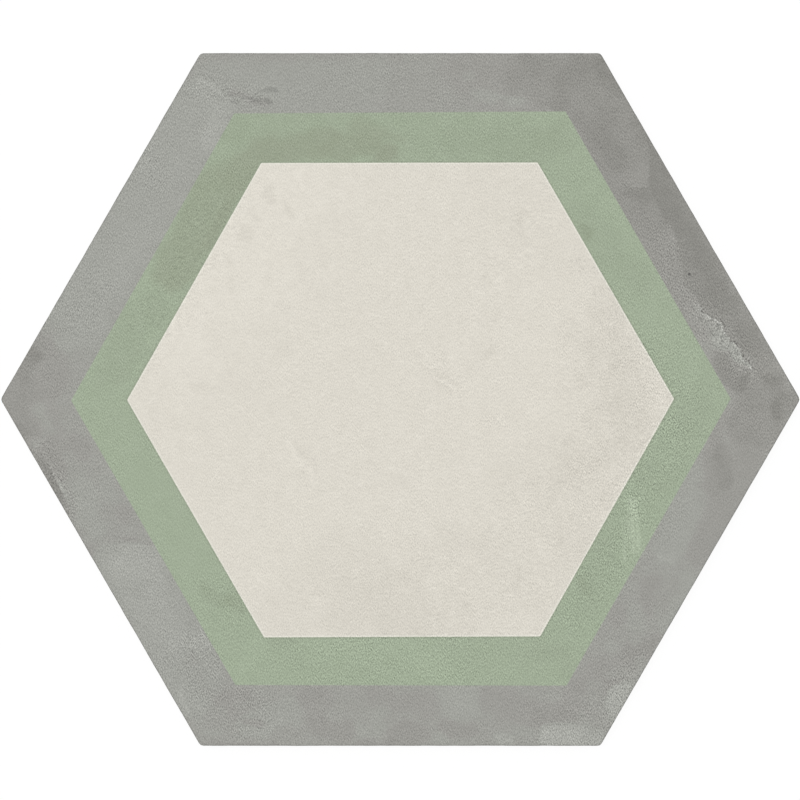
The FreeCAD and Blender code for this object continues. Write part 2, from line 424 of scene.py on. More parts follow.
# Marks made of fine streaks that run along their paths: path, half width, fade and strength. The dark ones
# are the smear at the top left and a brushing in the cream, and the light ones are wipes in the green
DARK_STREAKS = [
    ([(-53.5, 95), (-49.8, 94.6), (-46.5, 93.4)], 0.2, 0.9, 1.05),
    ([(-46.3, 93.5), (-45.3, 93)], 0.3, 0.9, 1.7),
    ([(-44.6, 93.9), (-43.6, 93.3)], 0.2, 0.9, 1.5),
    ([(-45.2, 92.8), (-42, 92.6)], 0.1, 0.8, 1.0),
    ([(-41.8, 93.2), (-40.5, 92.4)], 0.3, 0.9, 1.7),
    ([(-53, 92.9), (-49.8, 92.3)], 0.2, 0.9, 1.3),
    ([(-41.4, 96.6), (-38.8, 96.3)], 0.2, 0.9, 1.9),
    ([(-46, 95.2), (-42, 96.4)], 0.1, 0.8, 1.1),
    ([(57, 44), (62, 36), (66, 26), (68, 14)], 2.5, 4, 0.3),
]
LIGHT_STREAKS = [
    ([(72.2, -32), (72.6, -40), (73.6, -47)], 1.0, 2.0, 1.08),
    ([(70.8, -36), (70, -43), (69.7, -50)], 0.4, 1.2, 0.98),
]
# Places where pale specks gather: two at the top left, the right corner and the left edge
SPECKS = [
    ([(-64, 98), (-60, 98.6)], 1.2, 1.6, 1.0),
    ([(-58, 95.5), (-55, 93.5)], 1.0, 1.6, 0.8),
    ([(110, 14), (114, 11), (113, 7), (106, 9)], 1.6, 2.0, 1.1),
    ([(-110, -22), (-105, -29)], 1.0, 2.0, 0.8),
]
# Where the fine grain is stronger or weaker than usual. A level of 1 doubles it
FINE_GRAIN_CLOUDS = [
    # In the cream
    ([(-72, 5), (-55, 42), (-30, 64)], 8, 30, -0.25),
    ([(64, 22), (74, 0), (64, -24)], 4, 20, 0.4),
    ([(82, 2), (74, 14)], 2, 12, 0.4),
    ([(-5, -58), (35, -58), (52, -42)], 10, 22, 0.27),
    ([(12, 9), (14, 6)], 2, 4, 0.5),
    ([(27, -6), (31, -6)], 1, 4, 0.7),
    # In the green
    ([(-84, 12), (-66, 42), (-52, 68)], 4, 7, 0.25),
    ([(88, -8), (80, -24), (74, -30)], 3, 7, 0.4),
    ([(66, -46), (56, -66)], 3, 8, 0.3),
    ([(-30, -82), (20, -82)], 3, 8, 0.3),
    ([(-76, -28), (-66, -46)], 5, 8, -0.35),
    ([(-60, -58), (-52, -64)], 2, 4, 0.4),
    ([(56, 56), (74, 26)], 5, 8, -0.15),
    # In the grey
    ([(93, 29), (103, 16), (109, 9)], 3, 5, 0.55),
    ([(82, 50), (87, 38)], 3, 5, 0.4),
    ([(78, 70), (84, 58), (92, 48)], 3, 5, -0.3),
    ([(104, -20), (96, -38), (84, -56)], 5, 6, -0.4),
    ([(74, -84), (64, -100), (50, -105)], 4, 6, 0.5),
    ([(34, -96), (-10, -97)], 3, 6, -0.2),
    ([(-46, -98), (-56, -96), (-66, -80)], 4, 6, 0.45),
    ([(-113, -16), (-104, -32)], 2, 4, 0.6),
    ([(-122, 0), (-108, -6)], 4, 5, -0.25),
    ([(-104, 26), (-96, 32)], 4, 7, 0.3),
    ([(-80, 76), (-77, 70)], 2, 4, 0.4),
    ([(-66, 98), (-58, 97), (-44, 93)], 2, 4, 0.4),
    ([(-48, 104), (-30, 103)], 3, 5, -0.25),
]
# The same for the mottle, which is a few millimetres across
MOTTLE_CLOUDS = [
    # In the grey
    ([(-106, 16), (-84, 56), (-64, 84)], 6, 9, -0.6),
    ([(-36, 100), (16, 96)], 6, 8, -0.6),
    ([(102, -28), (92, -44)], 5, 6, -0.4),
    ([(82, -58), (66, -84), (48, -100)], 6, 7, 0.35),
    ([(72, 68), (90, 36)], 5, 6, 0.35),
    ([(-120, 0), (-108, 8)], 4, 6, -0.3),
    # In the green
    ([(-80, 20), (-66, 44), (-58, 60)], 4, 7, 0.9),
    ([(92, 0), (80, -20), (70, -48)], 4, 7, 0.6),
    ([(-20, 82), (40, 82)], 4, 6, -0.3),
    ([(-84, -14), (-60, -58)], 4, 7, -0.3),
    # In the cream
    ([(26, 36), (46, 60)], 3, 8, 0.5),
    ([(66, 6), (54, -30), (20, -60)], 8, 20, 0.42),
]
# Single pits and chips: x, y, radius, and how much of its colour the spot gains or loses
PINPOINTS = [
    (62.5, 78.4, 0.5, -0.35), (90.0, 39.0, 0.65, -0.65), (90.4, 39.5, 0.35, 0.3), (98.5, 39.4, 0.45, 0.3),
    (84.8, 50.1, 0.5, 0.32), (87.6, 49.4, 0.45, 0.34), (88.4, 49.8, 0.4, 0.26), (76.3, 66.3, 0.5, 0.2),
    (62.3, 96.8, 0.4, 0.15), (95.9, 24.4, 0.45, -0.4), (96.8, 24.2, 0.4, -0.25), (99.8, 19.4, 0.55, -0.35),
    (100.0, 17.3, 0.4, -0.35), (98.9, 22.0, 0.5, -0.3), (99.2, 23.4, 0.5, -0.25), (102.2, 16.5, 0.6, -0.25),
    (99.9, 23.8, 0.5, 0.4), (100.5, 21.7, 0.45, 0.3), (104.3, 17.0, 0.6, 0.25), (109.5, 7.3, 0.75, 0.3),
    (113.5, 8.1, 0.5, 0.25), (112.7, 7.4, 0.4, 0.2), (103.7, 5.5, 0.5, 0.25), (108.0, 12.3, 0.5, 0.2),
    (84.0, 54.0, 0.45, 0.28), (80.4, 51.4, 0.4, 0.22), (86.5, 47.2, 0.4, 0.24), (99.6, 34.5, 0.45, 0.26),
    (102.4, 33.0, 0.4, 0.24), (99.0, 32.8, 0.4, 0.2),
    (13.0, -103.6, 0.4, 0.12), (14.0, -104.7, 0.5, 0.15), (14.9, -105.9, 0.4, 0.12),
    (106.8, 13.6, 0.4, -0.25), (93.8, 27.6, 0.45, -0.35), (112.6, 14.3, 0.5, 0.2),
    (114.0, 12.8, 0.45, 0.16), (110.3, 12.5, 0.45, 0.16), (112.1, 12.1, 0.4, 0.14),
    (111.1, 11.0, 0.5, 0.16), (109.5, 10.4, 0.5, 0.16), (108.0, 6.3, 0.5, 0.18),
    (-93.4, -19.6, 0.6, 0.14), (-92.6, -20.6, 0.4, 0.12), (-115.3, -12.4, 0.5, 0.18),
]
# The scrape lies beside the crisp edges, where the levels on their right go from SCRAPE_FROM to SCRAPE_FULL
SCRAPE_DEPTH = 0.12
SCRAPE_STEP = 1.2
SCRAPE_FROM = 3.0
SCRAPE_FULL = 7.0

# The print's colours in levels of 255, by how many levels the clouds lighten or darken them
GREY_STOPS = [(-20, (134.8, 133.8, 128.4)), (-2.5, (152.6, 151.6, 146.4)), (2.5, (156.8, 157.8, 151.4)),
              (14, (169, 170, 163.5))]
GREEN_STOPS = [(-12, (146, 156.5, 134)), (-3, (154.5, 166.4, 144)), (1, (158.6, 171.4, 148)),
               (10, (167.7, 180.5, 157))]
CREAM_STOPS = [(-12, (209.5, 205, 194)), (0, (220.5, 216, 205)), (6, (226.5, 222, 211))]
GREEN_VEIL = (147, 155, 134)
KEY_LINE = (232, 230, 219)
KEY_SHADE = (146, 157, 135)
# Painted shade over the arris, where the face turns down away from the light
RIM_SHADE = (132, 131, 126)
# Painted highlight on the scrape's rim, and painted shadow along the step beside it
SCRAPE_HIGHLIGHT = (196, 197, 191)
SCRAPE_SHADOW = (100, 99, 94)
WIPE = (182, 194, 171)
BODY = (186, 178, 165)
BODY_DARK = (170, 161, 148)
ENGOBE = (206, 202, 194)

# How strongly the fine grain shows in each colour, as a share of the colour
GREY_GRAIN = 1.12
GREEN_GRAIN = 1.01
CREAM_GRAIN = 0.49
BODY_GRAIN = 0.7  # on the bare body, as a share of the grain in the grey
GRAIN_SIZE = 0.5
GRAIN_STRETCH = (2.0, 0.9, 1.0)
GRAIN_TURN = 0.5
BROAD_GRAIN_SIZE = 1.2
BROAD_GRAIN_SHARE = 0.06

# How far the borders of the print waver, and over what length they blur
PRINT_WOBBLE = 0.3
CREAM_WOBBLE_SHARE = 0.4
GREEN_BLUR = 0.36
CREAM_BLUR = 0.24
# How many levels the mottle and the fibres add
MOTTLE_SIZE = 5.0
GREY_MOTTLE = 5.5
GREEN_MOTTLE = 6.0
VEIL_MOTTLE = 0.25
CREAM_MOTTLE = 9.0
CREAM_FIBRES = 15.0
# How strongly each mark covers or shades the colour below it, from 0 to 1
KEY_SHADE_SHARE = 0.75
KEY_LINE_SHARE = 0.65
# The scrape's painted highlight
SCRAPE_HIGHLIGHT_SHARE = 0.65
WIPE_SHARE = 0.7
SMEAR_SHADE = 0.26
SPECK_GAIN = 0.35
WRINKLE_SHADE = 0.42
PINHOLE_SHADE = 0.06
# The painted shade over the arris
RIM_SHADE_SHARE = 0.75
# Depths below the face at which the rim's painted shade starts and is full, and the heights of the pale
# wash on the back and of the fade at the print's foot
RIM_SHADE_FROM = 0.12
RIM_SHADE_FULL = 0.3
ENGOBE_HEIGHT = 0.25
PRINT_FADE = 0.8

ROUGHNESS = (0.58, 0.74)
SPECULAR = 0.35
BUMP_STRENGTH = 0.6
BUMP_DEPTH = 0.1
SHARP_ANGLE = 35.0


def level_map(xy, clouds):
    """The levels that all the clouds of one colour add at each point."""
    ragged = CLOUD_RAGGEDNESS * noise_field(xy, CLOUD_RAG_SIZE, 4, CLOUD_RAG_SEED)
    total = np.zeros(len(xy))
    for path, half_width, fade, level in clouds:
        across, _ = place_on_path(xy, path)
        total += level * smooth(1 - (np.abs(across) - half_width) / fade + ragged)
    return total


def edge_maps(xy, edges):
    """Distance from the nearest crisp edge, positive on its left, and the levels on its left and right."""
    nearest = np.full(len(xy), np.inf)
    maps = np.zeros((3, len(xy)))
    for left_reach, right_reach, points in edges:
        path = [point[:2] for point in points]
        walked = np.cumsum([0] + [math.dist(a, b) for a, b in zip(path, path[1:])])
        across, along = place_on_path(xy, path)
        away = np.abs(across)
        left, right = (np.interp(along, walked, [point[k] for point in points]) for k in (2, 3))
        left = left * smooth(2 - 2 * away / left_reach)
        right = right * smooth(2 - 2 * away / right_reach)
        nearer = away < nearest
        nearest = np.where(nearer, away, nearest)
        maps = np.where(nearer, np.stack([across, left, right]), maps)
    return maps


def share_map(xy, places):
    """The strongest of the places at each point."""
    total = np.zeros(len(xy))
    for path, half_width, fade, share in places:
        total = np.maximum(total, share * soft_stroke(xy, path, half_width, fade))
    return total


def streak_grid(xy, marks):
    """How far along and across the nearest mark each point is, so that streaks can follow the mark."""
    nearest = np.full(len(xy), np.inf)
    grid = np.zeros((len(xy), 3))
    for number, (path, *_) in enumerate(marks):
        across, along = place_on_path(xy, path)
        nearer = np.abs(across) < nearest
        nearest = np.where(nearer, np.abs(across), nearest)
        grid[nearer] = np.stack([across, along, np.full(len(xy), 10.0 * number)], axis=1)[nearer]
    return grid


def reach_to_outline(xy, inset):
    """How far from the centre the rounded outline is, in the direction of each point."""
    apothem = TILE_APOTHEM - inset
    radius = max(CORNER_RADIUS - inset, 0.0)
    angle = np.arctan2(xy[:, 1], xy[:, 0])
    from_corner = np.abs((angle + math.pi / SIDES) % (math.pi / 3) - math.pi / SIDES)
    side = apothem / np.cos(math.pi / SIDES - from_corner)
    centre = (apothem - radius) / COS30
    in_arc = apothem * np.tan(math.pi / SIDES - from_corner) > (apothem - radius) * TAN30
    half_chord = np.sqrt(np.maximum(radius**2 - (centre * np.sin(from_corner)) ** 2, 0))
    return np.where(in_arc, centre * np.cos(from_corner) + half_chord, side)


def direction(turns):
    """A step of length 1 at so many sixths of a turn from +X."""
    angle = turns * math.pi / 3
    return np.array([math.cos(angle), math.sin(angle)])


def hexagon_ring(steps, apothem):
    """Points round a sharp hexagon with its first corner on +X, in so many steps a side."""
    corners = [apothem / COS30 * direction(k) for k in range(SIDES + 1)]
    sides = zip(corners, corners[1:])
    return np.array([start + (end - start) * t / steps for start, end in sides for t in range(steps)])


def outline_ring(steps, inset, depths=0.0):
    """A ring on the rounded outline, set in from the upright side, with a depth taken off at each point."""
    ring = hexagon_ring(steps, TILE_APOTHEM - inset)
    reach = reach_to_outline(ring, inset) - depths
    outward = ring / np.linalg.norm(ring, axis=1)[:, None]
    return outward * reach[:, None]


def face_points():
    """The face as rings of a triangular lattice, from the centre out to where the arris begins."""
    flat_apothem = TILE_APOTHEM - FACE_ARRIS
    rings = [np.zeros((1, 2))]
    for k in range(1, FACE_RINGS + 1):
        rings.append(outline_ring(k, TILE_APOTHEM - flat_apothem * k / FACE_RINGS))
    return np.concatenate(rings)


def face_triangles():
    """The lattice's triangles. Ring k starts at point 1 + 3k(k - 1)."""
    faces = []
    for k in range(1, FACE_RINGS + 1):
        outer = 1 + 3 * k * (k - 1)
        inner = 1 + 3 * (k - 1) * (k - 2) if k > 1 else 0
        inner_count = max(SIDES * (k - 1), 1)
        for side in range(SIDES):
            for step in range(k):
                here = outer + side * k + step
                there = outer + (side * k + step + 1) % (SIDES * k)
                inside = inner + (side * (k - 1) + step) % inner_count
                faces.append((here, there, inside))
                if step < k - 1:
                    faces.append((inside, there, inner + (side * (k - 1) + step + 1) % inner_count))
    return faces


def side_sections():
    """The rings from the arris down to the back.

    Each has its inset, its height, its share of the edge's waver and its share of the face's relief.
    """
    sections = []
    for step in range(1, ARRIS_STEPS + 1):
        turn = step / ARRIS_STEPS * math.pi / 2
        inset = FACE_ARRIS * (1 - math.sin(turn))
        height = THICKNESS - FACE_ARRIS * (1 - math.cos(turn))
        sections.append((inset, height, math.sin(turn), 1 - math.sin(turn)))
    upright = THICKNESS - FACE_ARRIS - BAND_FOOT
    for step in range(1, BAND_STEPS + 1):
        sections.append((0.0, THICKNESS - FACE_ARRIS - upright * step / BAND_STEPS, 1.0, 0.0))
    for step in range(1, DRAFT_STEPS + 1):
        share = step / DRAFT_STEPS
        sections.append((DRAFT_INSET * share, BAND_FOOT + (BACK_ARRIS - BAND_FOOT) * share, 1 - share, 0.0))
    sections.append((DRAFT_INSET + BACK_ARRIS, 0.0, 0.0, 0.0))
    return sections


def clip_polygon(points, normal, reach):
    """Keeps the part of a convex polygon that is within reach along the normal."""
    kept = []
    for a, b in zip(points, points[1:] + points[:1]):
        a_over, b_over = a @ normal - reach, b @ normal - reach
        if a_over <= 0:
            kept.append(a)
        if (a_over < 0 < b_over) or (b_over < 0 < a_over):
            kept.append(a + (b - a) * a_over / (a_over - b_over))
    return kept


def pocket_section(centre, narrowing):
    """A pocket's outline, trimmed by the rim, with its walls moved in by the narrowing."""
    apothem = (CELL_PITCH - RIB_WIDTH) / 2 - narrowing
    outward = [direction(k + 0.5) for k in range(SIDES)]
    corners = [apothem / COS30 * step + centre for step in outward]
    for normal in outward:
        corners = clip_polygon(corners, normal, BACK_APOTHEM - RIM_WIDTH - narrowing)
    return corners


def polygon_area(points):
    return 0.5 * abs(sum(a[0] * b[1] - b[0] * a[1] for a, b in zip(points, points[1:] + points[:1])))


def pocket_centres():
    """Honeycomb centres in rows along the tile's sides, with one at the middle."""
    reach = BACK_APOTHEM / COS30 + CELL_PITCH
    steps = math.ceil(reach / (CELL_PITCH * COS30))
    for row in range(-steps, steps + 1):
        for step in range(-steps, steps + 1):
            centre = np.array([CELL_PITCH * (step + row / 2), CELL_PITCH * row * COS30])
            if np.linalg.norm(centre) <= reach:
                yield centre


def pocket_rings(centre):
    """A pocket's rings from its rounded mouth to its floor, as outline and height, or None if too small."""
    flare = math.tan(math.radians(POCKET_DRAFT))
    levels = [
        (-POCKET_ROUNDING, 0.0),
        (POCKET_ROUNDING * flare, POCKET_ROUNDING),
        ((POCKET_DEPTH - POCKET_ROUNDING) * flare, POCKET_DEPTH - POCKET_ROUNDING),
        (POCKET_DEPTH * flare + POCKET_ROUNDING, POCKET_DEPTH),
    ]
    rings = [(pocket_section(centre, narrowing), z) for narrowing, z in levels]
    whole = polygon_area(pocket_section(np.zeros(2), levels[-1][0]))
    counts = {len(points) for points, _ in rings}
    if min(counts) < 3 or len(counts) > 1 or polygon_area(rings[-1][0]) < SMALLEST_POCKET * whole:
        return None
    return rings


def back_mesh(outer_ring, first):
    """The keyed back inside its outer ring, whose points are numbered from first: new points and faces."""
    points, faces = [], []
    flat = [Vector(p[:2]) for p in outer_ring]
    index = list(range(first, first + len(outer_ring)))
    loops = [list(range(len(flat)))]
    after_ring = first + len(outer_ring)
    for centre in pocket_centres():
        rings = pocket_rings(centre)
        if rings is None:
            continue
        starts = []
        for outline, z in rings:
            starts.append(after_ring + len(points))
            points.extend((x, y, z) for x, y in outline)
        sides = len(rings[0][0])
        loops.append(list(range(len(flat), len(flat) + sides)))
        flat.extend(Vector(p) for p in rings[0][0])
        index.extend(range(starts[0], starts[0] + sides))
        for upper, lower in zip(starts, starts[1:]):
            for k in range(sides):
                j = (k + 1) % sides
                faces.append((upper + j, upper + k, lower + k, lower + j))
        faces.append(tuple(starts[-1] + k for k in reversed(range(sides))))
    _, _, triangles, _, _, inside = geometry.delaunay_2d_cdt(flat, [], loops, CUT_INSIDE, WELD)
    for triangle, owners in zip(triangles, inside):
        if owners == [0]:
            faces.append(tuple(index[k] for k in reversed(triangle)))
    return points, faces


def hexagon_tile_mesh():
    """The whole tile as one closed mesh, in millimetres: face, arris, side and keyed back."""
    face = face_points()
    across, _, pale = edge_maps(face, CRISP_EDGES)
    scrape = smooth((pale - SCRAPE_FROM) / (SCRAPE_FULL - SCRAPE_FROM)) * smooth(0.5 - across / SCRAPE_STEP)
    relief = waver(face, FACE_WAVER, FACE_WAVER_SIZE, FACE_SEED) + SCRAPE_DEPTH * scrape
    points = [np.column_stack([face, THICKNESS - relief])]
    faces = face_triangles()
    count = SIDES * FACE_RINGS
    ring_start = 1 + 3 * FACE_RINGS * (FACE_RINGS - 1)
    rim_relief = relief[ring_start:]
    rim_xy = face[ring_start:]
    rim_waver = waver(rim_xy, EDGE_WAVER, EDGE_WAVER_SIZE, EDGE_SEED)
    next_start = len(face)
    for inset, z, waver_share, relief_share in side_sections():
        ring = outline_ring(FACE_RINGS, inset, rim_waver * waver_share)
        points.append(np.column_stack([ring, z - rim_relief * relief_share]))
        for k in range(count):
            j = (k + 1) % count
            faces.append((ring_start + k, next_start + k, next_start + j, ring_start + j))
        ring_start = next_start
        next_start += count
    back_points, back_faces = back_mesh(points[-1], ring_start)
    points.append(np.array(back_points))
    return np.concatenate(points), faces + back_faces


def lay_print(mesh, points):
    """Keeps the clouds and marks of the print at the vertices, for the material to read."""
    xy = points[:, :2]
    warp = np.column_stack([noise_field(xy, CLOUD_WARP_SIZE, 4, seed) for seed in CLOUD_WARP_SEEDS])
    warped = xy + CLOUD_WARP * warp
    printed = smooth((points[:, 2] - PRINT_FOOT) / (THICKNESS - PRINT_FOOT))
    edge_across, edge_left, edge_right = edge_maps(xy, CRISP_EDGES)
    maps = {
        "grey_cloud": level_map(warped, GREY_CLOUDS),
        "green_cloud": level_map(warped, GREEN_CLOUDS),
        "green_veil": share_map(warped, GREEN_VEILS),
        "cream_cloud": level_map(warped, CREAM_CLOUDS),
        "dark_streaks": share_map(xy, DARK_STREAKS),
        "light_streaks": share_map(xy, LIGHT_STREAKS),
        "specks": share_map(xy, SPECKS),
        "fine_grain": BODY_GRAIN + printed * (1 - BODY_GRAIN + level_map(warped, FINE_GRAIN_CLOUDS)),
        "mottle_strength": 1 + printed * level_map(warped, MOTTLE_CLOUDS),
        "edge_across": edge_across,
        "edge_left": edge_left,
        "edge_right": edge_right,
    }
    for name, values in maps.items():
        attribute = mesh.attributes.new(name, "FLOAT", "POINT")
        attribute.data.foreach_set("value", values.astype(np.float32))
    grid = streak_grid(xy, DARK_STREAKS + LIGHT_STREAKS).astype(np.float32)
    attribute = mesh.attributes.new("streak_grid", "FLOAT_VECTOR", "POINT")
    attribute.data.foreach_set("vector", grid.ravel())


def linear(red, green, blue):
    """A colour given in levels of 255, as the linear colour that a shader takes."""
    def channel(level):
        share = level / 255
        return share / 12.92 if share <= 0.04045 else ((share + 0.055) / 1.055) ** 2.4
    return (channel(red), channel(green), channel(blue), 1.0)


def placed(name, data):
    """Makes an object from its data and adds it to the scene."""
    made = bpy.data.objects.new(name, data)
    bpy.context.scene.collection.objects.link(made)
    return made


class Nodes:
    """Writes a material's nodes as expressions. A value is a number, a colour or another node's output."""

    def __init__(self, owner):
        owner.use_nodes = True
        self.tree = owner.node_tree
        self.tree.nodes.clear()

    def put(self, kind, inputs, **settings):
        node = self.tree.nodes.new("ShaderNode" + kind)
        for name, value in settings.items():
            setattr(node, name, value)
        for name, value in inputs.items():
            if isinstance(value, bpy.types.NodeSocket):
                self.tree.links.new(value, node.inputs[name])
            else:
                node.inputs[name].default_value = value
        return node

    def math(self, operation, a, b=0.0, c=0.0):
        return self.put("Math", {0: a, 1: b, 2: c}, operation=operation).outputs[0]

    def times(self, a, b):
        return self.math("MULTIPLY", a, b)

    def plus(self, a, b):
        return self.math("ADD", a, b)

    def times_plus(self, a, b, c):
        """a times b, plus c."""
        return self.math("MULTIPLY_ADD", a, b, c)

    def from_vectors(self, operation, a, b):
        """A number worked out from two vectors."""
        return self.put("VectorMath", {0: a, 1: b}, operation=operation).outputs["Value"]

    def scaled(self, vector, factor):
        return self.put("VectorMath", {0: vector, "Scale": factor}, operation="SCALE").outputs[0]

    def value(self, name):
        return self.put("Attribute", {}, attribute_name=name).outputs["Fac"]

    def vector(self, name):
        return self.put("Attribute", {}, attribute_name=name).outputs["Vector"]

    def moved(self, vector, turn=0.0, scale=(1, 1, 1)):
        inputs = {"Vector": vector, "Rotation": (0, 0, turn), "Scale": scale}
        return self.put("Mapping", inputs).outputs["Vector"]

    def noise(self, vector, size, detail=1.0, roughness=0.5):
        """Noise about 0, from about -0.5 to 0.5, with blobs of about this size."""
        inputs = {"Vector": vector, "Scale": 1 / size, "Detail": detail, "Roughness": roughness}
        return self.math("SUBTRACT", self.put("TexNoise", inputs).outputs["Fac"], 0.5)

    def ramp(self, value, low, high, to_low=0.0, to_high=1.0):
        inputs = {"Value": value, "From Min": low, "From Max": high, "To Min": to_low, "To Max": to_high}
        return self.put("MapRange", inputs, interpolation_type="SMOOTHSTEP").outputs["Result"]

    def mix(self, share, a, b):
        """Two colours mixed. Each is another node's output, or three levels of 255."""
        a, b = (linear(*colour) if isinstance(colour, tuple) else colour for colour in (a, b))
        return self.put("Mix", {0: share, 6: a, 7: b}, data_type="RGBA").outputs[2]

    def mix_value(self, share, a, b):
        return self.put("Mix", {"Factor": share, "A": a, "B": b}, data_type="FLOAT").outputs[0]

    def seen(self):
        """1 where the camera sees it, straight, in a mirror or through glass, and otherwise 0."""
        rays = self.put("LightPath", {}).outputs
        seen = self.math("MAXIMUM", rays["Is Camera Ray"], rays["Is Glossy Ray"])
        return self.math("MAXIMUM", seen, rays["Is Transmission Ray"])

    def blend(self, value, stops):
        """The colour for a value, from stops given as value and colour."""
        low, high = stops[0][0], stops[-1][0]
        share = self.math("DIVIDE", self.math("SUBTRACT", value, low), high - low)
        node = self.put("ValToRGB", {"Fac": share})
        while len(node.color_ramp.elements) < len(stops):
            node.color_ramp.elements.new(0.5)
        for element, (place, colour) in zip(node.color_ramp.elements, stops):
            element.position = (place - low) / (high - low)
            element.color = linear(*colour)
        return node.outputs["Color"]


def hexagon_distance(n, place, sides):
    """How far inside a printed hexagon each point is, with corners that round off a little."""
    inside = None
    for facing, distance in sides:
        normal = (math.cos(math.radians(facing)), math.sin(math.radians(facing)), 0)
        outward = n.from_vectors("DOT_PRODUCT", place, normal)
        from_side = n.math("SUBTRACT", distance, outward)
        inside = n.math("SMOOTH_MIN", inside, from_side, PRINT_CORNER) if inside else from_side
    return inside


def printed_colour(n, place, mottle, edge):
    """The print's three colours with their clouds, and the masks of the green and the cream zones."""
    wobble = n.times(n.noise(place, 1.1, 3.0, 0.6), PRINT_WOBBLE)
    in_green = n.plus(hexagon_distance(n, place, GREEN_SIDES), wobble)
    wobble = n.times(wobble, CREAM_WOBBLE_SHARE)
    in_cream = n.plus(hexagon_distance(n, place, CREAM_SIDES), wobble)
    green_zone = n.ramp(in_green, -GREEN_BLUR / 2, GREEN_BLUR / 2)
    cream_zone = n.ramp(in_cream, -CREAM_BLUR / 2, CREAM_BLUR / 2)
    levels = n.times_plus(mottle, GREY_MOTTLE, n.value("grey_cloud"))
    beside_edge = n.mix_value(n.ramp(edge, -0.25, 0.25), n.value("edge_right"), n.value("edge_left"))
    grey = n.blend(n.plus(levels, beside_edge), GREY_STOPS)
    green = n.blend(n.times_plus(mottle, GREEN_MOTTLE, n.value("green_cloud")), GREEN_STOPS)
    green = n.mix(n.times_plus(mottle, VEIL_MOTTLE, n.value("green_veil")), green, GREEN_VEIL)
    shade = n.times(n.ramp(in_cream, -0.7, -0.35), KEY_SHADE_SHARE)
    green = n.mix(shade, green, KEY_SHADE)
    fibres = n.noise(n.moved(place, turn=0.3, scale=(0.6, 1.4, 1.0)), 1.5, 2.0, 0.6)
    texture = n.times(fibres, n.times(n.value("mottle_strength"), CREAM_FIBRES))
    texture = n.times_plus(mottle, CREAM_MOTTLE, texture)
    cream = n.blend(n.plus(texture, n.value("cream_cloud")), CREAM_STOPS)
    colour = n.mix(green_zone, grey, green)
    colour = n.mix(cream_zone, colour, cream)
    line = n.times(n.ramp(in_cream, -0.02, 0.1), n.ramp(in_cream, 0.6, 0.35))
    colour = n.mix(n.times(line, KEY_LINE_SHARE), colour, KEY_LINE)
    return colour, green_zone, cream_zone


def scraped(n, place, colour, edge):
    """The scrape's rim with a painted highlight, a painted shadow along the layer beside it, and single
    pits and chips.
    """
    share = n.ramp(n.value("edge_right"), 3.2, 5.5)
    dots = n.noise(place, 0.8, 2.0, 0.6)
    # Painted highlight: a bright line on the scrape's side of the step, broken into dots
    rim = n.times(n.ramp(edge, 0.05, -0.1), n.ramp(edge, -0.75, -0.4))
    rim = n.times(rim, n.ramp(dots, -0.06, 0.06))
    colour = n.mix(n.times(rim, n.times(share, SCRAPE_HIGHLIGHT_SHARE)), colour, SCRAPE_HIGHLIGHT)
    # Painted shadow: a dark line on the worn layer's side of the step
    painted_step_shadow = n.times(n.ramp(edge, -0.1, 0.1), n.ramp(edge, 0.6, 0.35))
    painted_step_shadow = n.times(painted_step_shadow, n.ramp(dots, 0.02, -0.1))
    colour = n.mix(n.times(painted_step_shadow, share), colour, SCRAPE_SHADOW)
    factor = 1.0
    for x, y, radius, gain in PINPOINTS:
        away = n.from_vectors("DISTANCE", place, (x, y, THICKNESS))
        factor = n.plus(n.ramp(away, radius, 0.3 * radius, 0.0, gain), factor)
    return n.scaled(colour, factor)


def marked(n, place, colour):
    """Fine streaks and specks in the print, as darker and lighter shares of its colour."""
    grid = n.vector("streak_grid")
    fine = n.noise(place, 0.6, 2.0, 0.6)
    dabs = n.noise(n.moved(grid, scale=(1.0, 0.22, 1.0)), 0.7, 3.0, 0.65)
    streaks = n.times_plus(fine, 0.7, dabs)
    brushing = n.noise(n.moved(grid, scale=(1.3, 0.1, 1.0)), 0.8, 3.0, 0.65)
    brushing = n.times_plus(fine, 0.25, brushing)
    dark = n.ramp(n.times_plus(n.value("dark_streaks"), 0.3, streaks), 0.1, 0.5)
    light = n.ramp(n.times_plus(n.value("light_streaks"), 0.3, brushing), 0.12, 0.5)
    light = n.times(light, n.ramp(n.value("light_streaks"), 0.0, 0.2))
    colour = n.mix(n.times(light, WIPE_SHARE), colour, WIPE)
    dark = n.times(dark, n.ramp(n.value("dark_streaks"), 0.0, 0.2))
    factor = n.times_plus(dark, -SMEAR_SHADE, 1.0)
    specks = n.ramp(n.noise(place, 0.75, 1.0, 0.5), 0.14, 0.22)
    factor = n.times_plus(n.times(specks, n.value("specks")), SPECK_GAIN, factor)
    return n.scaled(colour, factor)


def grained(n, place, colour, grain, green_zone, cream_zone):
    """The fine grain. It is weaker in the cream, and uneven from place to place."""
    contrast = n.mix_value(green_zone, GREY_GRAIN, GREEN_GRAIN)
    contrast = n.mix_value(cream_zone, contrast, CREAM_GRAIN)
    uneven = n.ramp(n.noise(place, 9.0, 3.0, 0.6), -0.2, 0.2, 0.85, 1.15)
    contrast = n.times(contrast, n.times(uneven, n.value("fine_grain")))
    factor = n.times_plus(grain, contrast, 1.0)
    wrinkles = n.noise(n.moved(place, scale=(0.8, 1.25, 1.0)), 1.3, 2.0, 0.6)
    wrinkled = n.ramp(n.value("mottle_strength"), 1.0, 2.0, 0.0, WRINKLE_SHADE)
    factor = n.plus(n.times(wrinkles, wrinkled), factor)
    pinholes = n.times(n.ramp(n.noise(place, 0.8, 1.0, 0.5), -0.15, -0.22), cream_zone)
    factor = n.times_plus(pinholes, -PINHOLE_SHADE, factor)
    return n.scaled(colour, factor)


